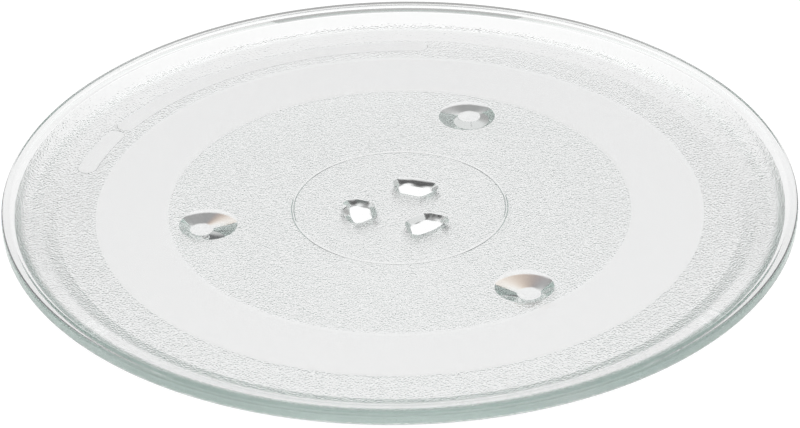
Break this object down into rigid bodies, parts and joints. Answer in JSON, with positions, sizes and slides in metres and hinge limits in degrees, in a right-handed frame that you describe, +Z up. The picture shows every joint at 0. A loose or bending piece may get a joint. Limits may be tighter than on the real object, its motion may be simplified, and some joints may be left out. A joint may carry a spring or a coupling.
{
  "type": "microwave turntable plate",
  "caption": "Round pressed-glass turntable plate with an upturned rim, a stippled underside, a smooth roller track, drive lugs round the centre and short feet.",
  "frame": {"origin": "middle of the plane that the three feet stand on, on the plate's own axis", "axes": "+Z up along the plate's axis, out of the food side; +Y through one foot and one drive lug; +X completes the right-handed set"},
  "size_m": [0.315, 0.315, 0.0157],
  "materials": {
    "glass": "clear pressed soda-lime glass with a faint green edge, polished on top, stippled underneath outside the roller track"
  },
  "bodies": {
    "root": {"turntable_plate": "glass"}
  },
  "joints": []
}
